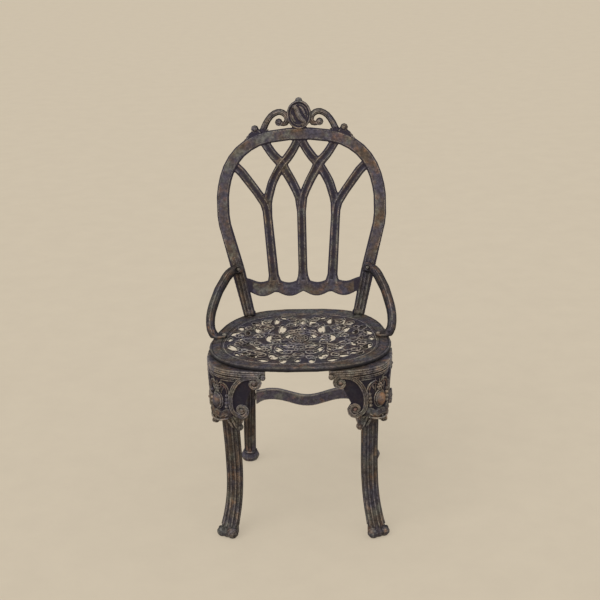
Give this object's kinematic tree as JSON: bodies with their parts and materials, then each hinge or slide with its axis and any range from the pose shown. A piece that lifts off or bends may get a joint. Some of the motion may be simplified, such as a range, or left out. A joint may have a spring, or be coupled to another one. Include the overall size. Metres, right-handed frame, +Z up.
{
  "type": "garden armchair",
  "caption": "Cast iron garden armchair with a pierced oval seat, a hooped back of interlaced arches, short curved arms and scrolled cabriole front legs.",
  "frame": {"origin": "on the floor, at the centre of the overall footprint", "axes": "+Z up, +Y towards the chair's back, +X towards the right of someone who faces the chair's front"},
  "size_m": [0.433, 0.4399, 0.9206],
  "materials": {
    "castings": "old dark paint over cast iron, worn and faintly rusty along the edges",
    "fasteners": "dull dark iron with a little rust"
  },
  "bodies": {
    "root": {"seat_casting": "castings", "back_casting": "castings", "arm_left": "castings", "arm_right": "castings", "front_leg_left": "castings", "front_leg_right": "castings", "rear_leg_left": "castings", "rear_leg_right": "castings", "rear_stretcher": "castings", "arm_back_bolt_left": "fasteners", "arm_back_bolt_right": "fasteners", "arm_back_nut_left": "fasteners", "arm_back_nut_right": "fasteners", "arm_seat_bolt_left": "fasteners", "arm_seat_bolt_right": "fasteners", "arm_seat_nut_left": "fasteners", "arm_seat_nut_right": "fasteners", "front_leg_screw_front_left": "fasteners", "front_leg_screw_front_right": "fasteners", "front_leg_screw_side_left": "fasteners", "front_leg_screw_side_right": "fasteners", "stretcher_screw_left": "fasteners", "stretcher_screw_right": "fasteners", "tenon_bolt_left": "fasteners", "tenon_bolt_right": "fasteners", "tenon_nut_left": "fasteners", "tenon_nut_right": "fasteners"}
  },
  "joints": []
}
